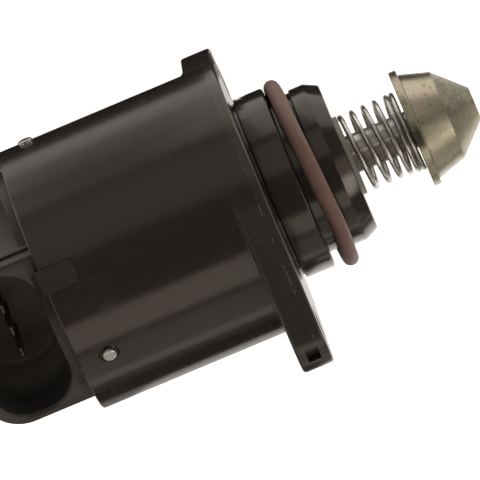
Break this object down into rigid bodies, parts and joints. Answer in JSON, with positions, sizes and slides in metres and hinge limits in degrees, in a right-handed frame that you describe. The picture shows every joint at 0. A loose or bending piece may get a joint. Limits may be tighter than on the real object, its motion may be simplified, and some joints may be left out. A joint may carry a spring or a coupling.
{
  "type": "idle air control valve",
  "caption": "Flanged plastic barrel with a claw-pole stepper motor that drives a sprung conical pintle; angled plug socket at the rear.",
  "frame": {"origin": "on the pintle's axis, in the flange's mounting face", "axes": "+X along the pintle's axis towards its tip, +Z the way the connector's mouth faces"},
  "size_m": [0.071, 0.0346, 0.0513],
  "materials": {
    "black_plastic": "semi-gloss moulded",
    "cap_plastic": "satin moulded",
    "seal_rubber": "matt",
    "ring_rubber": "matt, faded",
    "bright_steel": "bright",
    "tinned_brass": "tinned",
    "plated_steel": "satin, turned and plated",
    "stem_steel": "ground",
    "spring_steel": "drawn wire",
    "bush_plastic": "matt",
    "ferrite": "sintered",
    "nut_brass": "turned",
    "stator_steel": "pressed and plated",
    "bobbin_plastic": "moulded",
    "copper_wire": "enamelled winding"
  },
  "bodies": {
    "casing": {"housing": "black_plastic", "end_cap": "cap_plastic", "cap_seal": "seal_rubber", "nose_o_ring": "ring_rubber", "retaining_pin_1": "bright_steel", "retaining_pin_2": "bright_steel", "retaining_pin_3": "bright_steel", "terminal_1": "tinned_brass", "terminal_2": "tinned_brass", "terminal_3": "tinned_brass", "terminal_4": "tinned_brass", "valve_spring": "spring_steel", "guide_bush": "bush_plastic", "stem_wiper": "seal_rubber", "bearing_outer_ring": "bright_steel", "rear_bush": "nut_brass", "front_cup": "stator_steel", "front_claw_ring": "stator_steel", "rear_cup": "stator_steel", "rear_claw_ring": "stator_steel", "front_bobbin": "bobbin_plastic", "rear_bobbin": "bobbin_plastic", "front_winding": "copper_wire", "rear_winding": "copper_wire"},
    "rotor": {"rotor_magnet": "ferrite", "rotor_nut": "nut_brass", "bearing_inner_ring": "bright_steel"},
    "ball_set": {"bearing_balls": "bright_steel", "bearing_cage": "nut_brass"},
    "plunger": {"pintle": "plated_steel", "drive_screw": "stem_steel"}
  },
  "joints": [
    {"name": "rotor_spin", "type": "hinge", "parent": "casing", "child": "rotor", "pos_m": [0, 0, 0], "axis": [1, 0, 0], "range_deg": [-1080, 1800]},
    {"name": "ball_orbit", "type": "hinge", "parent": "casing", "child": "ball_set", "pos_m": [0, 0, 0], "axis": [1, 0, 0], "range_deg": [-451, 751]},
    {"name": "pintle_slide", "type": "slide", "parent": "casing", "child": "plunger", "axis": [1, 0, 0], "range_m": [-0.00301, 0.00501], "deforming": ["valve_spring"]}
  ],
  "couplings": [
    {"joint": "ball_orbit", "follows": "rotor_spin", "ratio": 0.417},
    {"joint": "pintle_slide", "follows": "rotor_spin", "m_per_rad": 0.00015915}
  ]
}
